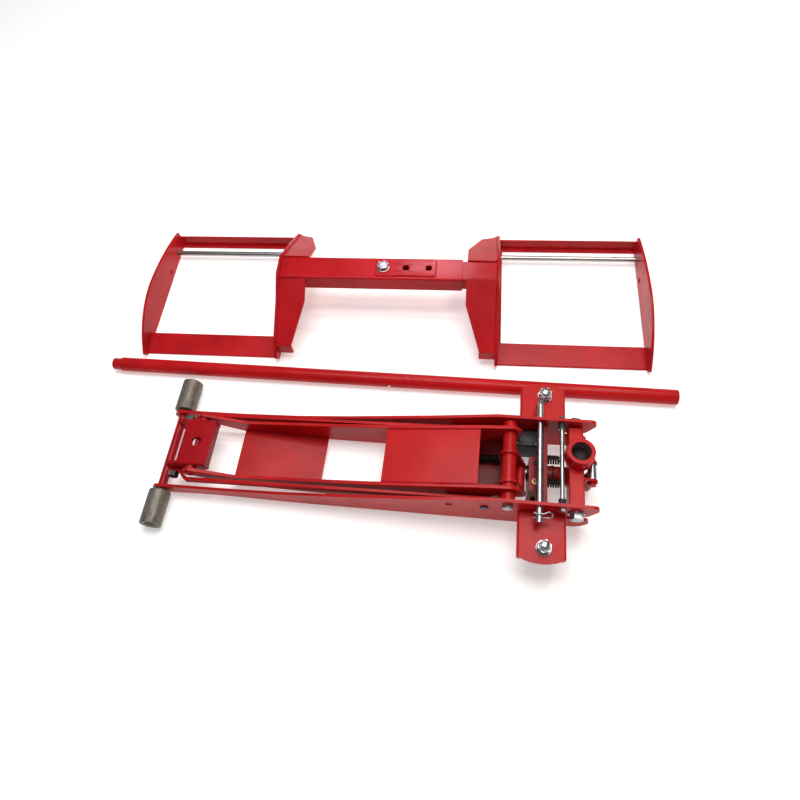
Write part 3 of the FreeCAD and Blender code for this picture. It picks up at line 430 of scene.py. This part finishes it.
weld("lever welds", [circle(J(0, y, 98), (0, 1, 0), 13.5) for y in (-46.5, -39.5, 11.5, 18.5)], 1.5, "lift_arm", up=Vector((0, 1, 0)))
weld("socket weld", [circle(J(128.5, 18, 100.6), (0, 0, 1), 26.2, 60)], 2.1, "yoke")
# thin near-black cup lining the socket: painted shade that makes the bore look dark and deep
lathe("socket_liner", J(128.5, 18, 104.1), (0, 0, 1), [(0, 0), (17.9, 0), (17.9, 21.6), (17.6, 21.6), (17.6, 0.6), (0, 0.6)], "socket_painted_shade", "yoke", 48)
thread("tie rod thread", J(96.5, 94.5, 106), (0, 1, 0), 4.0, 1.25, 3.0, "zinc", "chassis")
lathe("pivot_bolt_face", J(0, -94.0, 98), (0, -1, 0), [(0, -0.4), (8.9, -0.4), (8.6, 0.3), (6.0, 0.45), (0, 0.45)], "zinc", "chassis", 40)
for s, nm in ((-1, "near"), (1, "far")):
    # chamfered faces on the yoke bolt heads
    yb = -101.0 if s < 0 else 101.0
    lathe("yoke bolt face " + nm, J(124, yb, 88), (0, s, 0), [(0, -0.4), (10.7, -0.4), (10.4, 0.35), (8.0, 0.45), (0, 0.45)], "zinc", "chassis")
    # ribs of the rubber bumpers on the tie rod
    y0 = s * 76.0
    lathe("bumper ribs " + nm, J(96.5, y0, 106), (0, 1, 0), [(6.3, -5.6), (6.9, -5.2), (7.2, -4.2), (6.7, -3.2), (7.2, -2.0), (7.2, -0.8), (6.7, 0.2), (7.2, 1.2), (7.2, 2.6), (6.7, 3.6),
                                                              (7.2, 4.6), (6.9, 5.4), (6.3, 5.8)], "rubber", "chassis")

# hydraulic unit: plugs, gland nut, valve, tank screws, banjo pipe
lathe("filler plug", J(50.5, -30, 80.0), (0, 0, 1), [(0, -0.5), (6.5, -0.5), (6.5, 1.4), (6.0, 2.0), (3.2, 2.0), (3.0, 1.0), (0, 1.0)], "brass", "chassis")
lathe("bleed plug", J(50.5, 8, 80.0), (0, 0, 1), [(0, -0.5), (4.6, -0.5), (4.6, 2.2), (4.1, 2.8), (2.2, 2.8), (2.0, 1.6), (0, 1.6)], "oxide", "chassis")
lathe("ram gland ring", J(38.5, 0, 44), (-1, 0, 0), [(11.6, -0.5), (16.0, -0.5), (16.0, 1.6), (15.2, 2.4), (12.4, 2.4), (11.6, 1.8)], "oxide", "chassis")
lathe("barrel end ring", J(117.6, 0, 44), (1, 0, 0), [(0, -1.5), (18.8, -1.5), (19.0, 0.0), (18.2, 1.2), (10.0, 1.4), (0, 1.4)], "oxide", "chassis")
lathe("barrel band", J(84.0, 0, 44), (1, 0, 0), [(17.6, 0), (19.2, 0.4), (19.4, 2.0), (19.2, 3.6), (17.6, 4.0)], "oxide", "chassis")
for i, (x, y) in enumerate(((14, 52), (14, 76), (54, 52), (54, 76))):
    lathe("tank screw %d" % i, J(x, y, 72.0), (0, 0, 1), [(0, -0.4), (3.6, -0.4), (3.6, 1.4), (3.2, 1.9), (1.9, 1.9), (1.8, 0.9), (0, 0.9)], "zinc", "chassis", 24)
wire("oil pipe", [J(58, 46, 40), J(62, 38, 40), J(60, 30, 44), J(58, 24, 50), J(56, 19, 52)], 2.6, "oxide", "chassis")
lathe("pump gland nut", J(154.5, -5.25, 52.0), (0, 0, 1), [(8.7, -5.0), (13.6, -5.0), (13.6, -0.8), (12.8, 0.0), (9.0, 0.0), (8.7, -0.6)], "oxide", "chassis", 6)
lathe("plunger clip", J(154.5, -5.25, 70.6), (0, 0, 1), [(6.9, 0), (8.6, 0), (8.8, 0.5), (8.6, 1.0), (6.9, 1.0)], "zinc", "plunger")
lathe("release valve screw", J(50.5, -48.0, 34), (0, -1, 0), [(0, -0.5), (5.2, -0.5), (5.2, 3.6), (4.6, 4.4), (0, 4.4)], "oxide", "chassis", 6)

for s, nm in ((-1, "near"), (1, "far")):
    lathe("front pin end " + nm, J(-676, s * 69.0, 47), (0, s, 0), [(0, -0.4), (5.6, -0.4), (5.2, 0.4), (4.2, 0.8), (0, 0.8)], "oxide", "saddle_head", 24)
    lathe("axle end cap " + nm, J(-706, s * 168.0, 22), (0, s, 0), [(0, -0.6), (6.8, -0.6), (6.2, 0.5), (3.0, 0.9), (0, 0.4)], "roller", "chassis", 32)
    lathe("roller inner ring " + nm, J(-706, s * 165.0, 22), (0, s, 0), [(12.0, -0.3), (20.4, -0.3), (20.2, 0.25), (12.2, 0.3)], "roller", "roller_" + nm, 48)

# ------------------------------------------------------------------ cradle details
for side, s in (("left", -1), ("right", 1)):
    body = "cradle_" + side
    inn = 250.0 if s < 0 else 243.0
    a, b = s * 572.4, s * (inn + 6.6)
    weld("frame corner welds " + side, [[K(a, 4, 5.0), K(a, 28, 9.6), K(a, 50, 13.6)], [K(b, 4, 5.0), K(b, 28, 9.6), K(b, 50, 13.6)],
                                       [K(a, 331.5, 5.6), K(a, 338.0, 6.0), K(a, 338.6, 28.5)],
                                       [K(b, 331.5, 5.6), K(b, 338.0, 6.0), K(b, 338.6, 28.5)]], 1.9, body)
    e = s * (inn - 0.4)
    weld("gusset welds " + side, [[K(e, 6, 47.8), K(e, 72, 84.6), K(e, 138, 121.6)], [K(e, 203, 121.4), K(e, 272, 83.0), K(e, 340, 45.2)]], 2.2, body)
    weld("ledge weld " + side, [[K(s * (inn + 6.5), 56, 5.4), K(s * (inn + 6.5), 190, 5.4), K(s * (inn + 6.5), 326, 5.4)]], 1.7, body)
    if s < 0:
        weld("tube end weld left", [[K(-249.0, 142, 122.2), K(-249.0, 170, 122.4), K(-249.0, 200, 122.2)]], 2.1, body)
        weld("gusset tube welds left", [[K(-248, 141.0, 122.2), K(-190, 141.0, 122.2)], [K(-248, 201.0, 122.2), K(-190, 201.0, 122.2)]], 2.1, body)
    else:
        weld("tube end weld right", [[K(242.2, 146, 119.2), K(242.2, 171, 119.4), K(242.2, 196, 119.2)]], 2.0, body)
        weld("gusset tube welds right", [[K(177, 144.6, 120.0), K(240, 144.6, 120.0)], [K(177, 197.4, 120.0), K(240, 197.4, 120.0)]], 2.0, body)
    # collars that keep the loose rods in their plates
    rb = "rod_left" if s < 0 else "rod_right"
    for xx in (s * 583.0, s * (inn - 4.0)):
        out = 1 if abs(xx) > 500 else -1
        lathe("rod end %s %d" % (side, abs(int(xx))), K(xx, 296.5, 18), (s * out * math.cos(TURN), s * out * math.sin(TURN), 0),
              [(0, -0.6), (5.2, -0.6), (4.6, 0.5), (0, 0.7)], "bright", rb, 24)
weld("doubler welds", [[K(-28.2, 150, 122.4), K(-28.2, 192, 122.4)], [K(106.2, 150, 122.4), K(106.2, 192, 122.4)],
                       [K(-26, 148.8, 122.4), K(18, 148.8, 122.4)], [K(60, 148.8, 122.4), K(104, 148.8, 122.4)],
                       [K(-26, 193.2, 122.4), K(18, 193.2, 122.4)], [K(60, 193.2, 122.4), K(104, 193.2, 122.4)]], 1.8, "cradle_left")
thread("width bolt thread", K(-12, 171, 72.2), (0, 0, -1), 7.0, 2.0, 6.6, "zinc", "cradle_left")
lathe("width bolt washer", K(-12, 171, 125.0), (0, 0, 1), [(7.1, 0), (14.0, 0), (14.0, 0.5), (13.6, 0.8), (7.1, 0.8)], "zinc", "cradle_left", 40)
lathe("width bolt face", K(-12, 171, 133.8), (0, 0, 1), [(0, -0.5), (10.6, -0.5), (10.2, 0.25), (7.0, 0.4), (0, 0.3)], "zinc", "cradle_left", 36)

# ------------------------------------------------------------------ handle details
lathe("handle seam ring", J(-229.0, 207.5, 16), (1, 0, 0), [(15.0, -1.4), (16.15, -1.2), (16.35, -0.2), (16.15, 0.6), (15.0, 0.8)], "red_worn", "handle", 56)
lathe("handle end ring", J(-915.0, 207.5, 16), (1, 0, 0), [(10.5, 0.2), (12.6, -0.1), (13.5, 0.7), (13.6, 2.0), (13.4, 2.6)], "red_worn", "handle", 48)

# ------------------------------------------------------------------ stage
me = bpy.data.meshes.new("floor")
me.from_pydata([(-12, -12, -0.0004), (12, -12, -0.0004), (12, 12, -0.0004), (-12, 12, -0.0004)], [], [(0, 1, 2, 3)])
floor = bpy.data.objects.new("floor", me)
bpy.context.scene.collection.objects.link(floor)
fm, fnt, fb, fco = new_mat("pale floor")
fn = noise(fnt, fco, 3.0, 3.0)
fr = ramp(fnt, fn.outputs["Fac"], [(0.2, g(0.90)), (0.8, g(0.93))])
fnt.links.new(fr.outputs["Color"], fb.inputs["Base Color"])
fb.inputs["Roughness"].default_value = 0.7
fb.inputs["Emission Color"].default_value = (1.0, 1.0, 1.0, 1.0)
fb.inputs["Emission Strength"].default_value = 0.40
fb.inputs["Specular IOR Level"].default_value = 0.15
floor.data.materials.append(fm)

world = bpy.data.worlds.new("studio")
bpy.context.scene.world = world
world.use_nodes = True
bg = world.node_tree.nodes["Background"]
bg.inputs["Color"].default_value = (1.0, 1.0, 1.0, 1.0)
bg.inputs["Strength"].default_value = 0.14


def area(name, loc, target, size, power, color=(1, 1, 1)):
    li = bpy.data.lights.new(name, "AREA")
    li.shape = "RECTANGLE"
    li.size, li.size_y = size
    li.energy = power
    li.color = color
    ob = bpy.data.objects.new(name, li)
    ob.location = loc
    d = (Vector(target) - Vector(loc)).normalized()
    ob.rotation_euler = d.to_track_quat("-Z", "Y").to_euler()
    bpy.context.scene.collection.objects.link(ob)
    return ob


area("overhead", (0.12, 0.34, 2.6), (0.08, 0.05, 0), (2.1, 1.1), 52.0)
area("front fill", (1.1, -2.4, 1.3), (0.1, 0, 0.05), (1.5, 0.8), 5.0, (1.0, 0.62, 0.36))
area("side fill", (-2.3, -0.4, 1.7), (0, 0, 0.05), (0.9, 1.2), 2.6)
area("back strip", (-0.087, 2.01, 2.2), (0.11, 0.24, 0.1), (0.42, 0.16), 13.0, (1.0, 0.84, 0.97))
area("back corner", (1.0, 1.38, 2.2), (0.5, 0.04, 0.02), (0.34, 0.34), 13.0, (1.0, 0.86, 0.58))

# ------------------------------------------------------------------ camera
az, el, roll = -0.2636, 1.0701, -0.1685
fwd = Vector((math.sin(az) * math.cos(el), math.cos(az) * math.cos(el), -math.sin(el)))
right = Vector((math.cos(az), -math.sin(az), 0.0))
up = right.cross(fwd)
r2 = right * math.cos(roll) + up * math.sin(roll)
u2 = up * math.cos(roll) - right * math.sin(roll)
pos = J(-65.94, -463.53, 1194.78)
cam_data = bpy.data.cameras.new("camera")
cam_data.lens = 27.80
cam_data.sensor_width = 36.0
cam = bpy.data.objects.new("camera", cam_data)
back = -fwd
cam.matrix_world = Matrix(((r2.x, u2.x, back.x, pos.x), (r2.y, u2.y, back.y, pos.y), (r2.z, u2.z, back.z, pos.z), (0, 0, 0, 1)))
bpy.context.scene.collection.objects.link(cam)
bpy.context.scene.camera = cam
bpy.context.scene.view_settings.view_transform = "Standard"
bpy.context.scene.view_settings.look = "None"
bpy.context.scene.view_settings.exposure = 0.0
